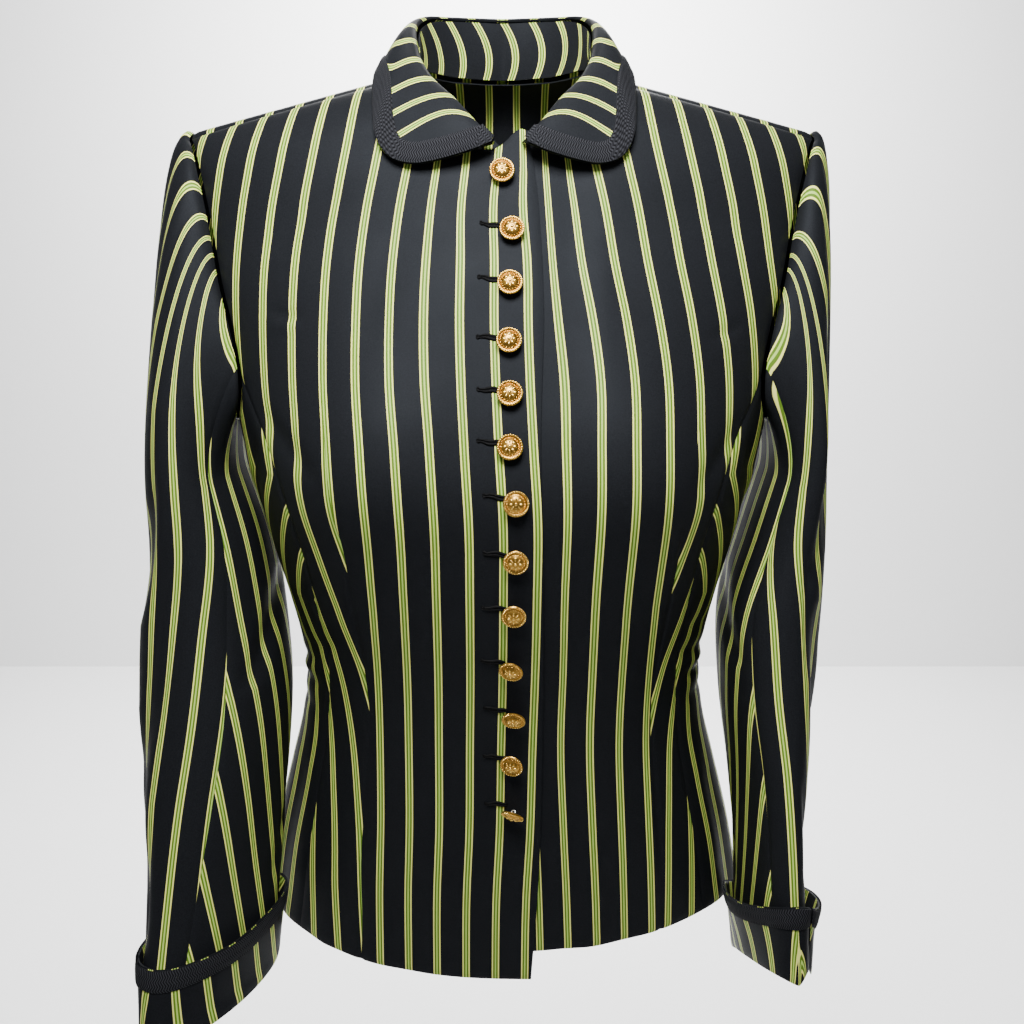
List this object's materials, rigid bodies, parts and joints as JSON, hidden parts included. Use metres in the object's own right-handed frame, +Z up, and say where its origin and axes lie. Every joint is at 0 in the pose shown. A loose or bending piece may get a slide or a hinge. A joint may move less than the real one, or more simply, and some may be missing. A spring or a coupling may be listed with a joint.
{
  "type": "tailored jacket",
  "caption": "Short fitted jacket of striped cloth, worn and hollow, with a turned-down round collar, a buttoned front and turned-back cuffs",
  "frame": {"origin": "the middle of the shoulder ridge, level with the sides of the neck, where the jacket is held up", "axes": "+Z is up, the front faces -Y and the wearer's left is +X"},
  "size_m": [0.4584, 0.2934, 0.6446],
  "materials": {
    "cloth": "near-black fine cloth with narrow green and pale yellow stripes, soft sheen",
    "braid": "black herringbone braid, matt",
    "button": "gilt, softly polished, with a plain ornament"
  },
  "bodies": {
    "root": {"back_left": "cloth", "back_right": "cloth", "button_01": "button", "button_02": "button", "button_03": "button", "button_04": "button", "button_05": "button", "button_06": "button", "button_07": "button", "button_08": "button", "button_09": "button", "button_10": "button", "button_11": "button", "button_12": "button", "button_13": "button", "collar_braid": "braid", "collar_fall": "cloth", "collar_stand": "cloth", "cuff_braid_left": "braid", "cuff_braid_right": "braid", "cuff_left": "cloth", "cuff_right": "cloth", "front_left": "cloth", "front_right": "cloth", "side_left": "cloth", "side_right": "cloth", "sleeve_under_left": "cloth", "sleeve_under_right": "cloth", "sleeve_upper_left": "cloth", "sleeve_upper_right": "cloth"}
  },
  "joints": []
}
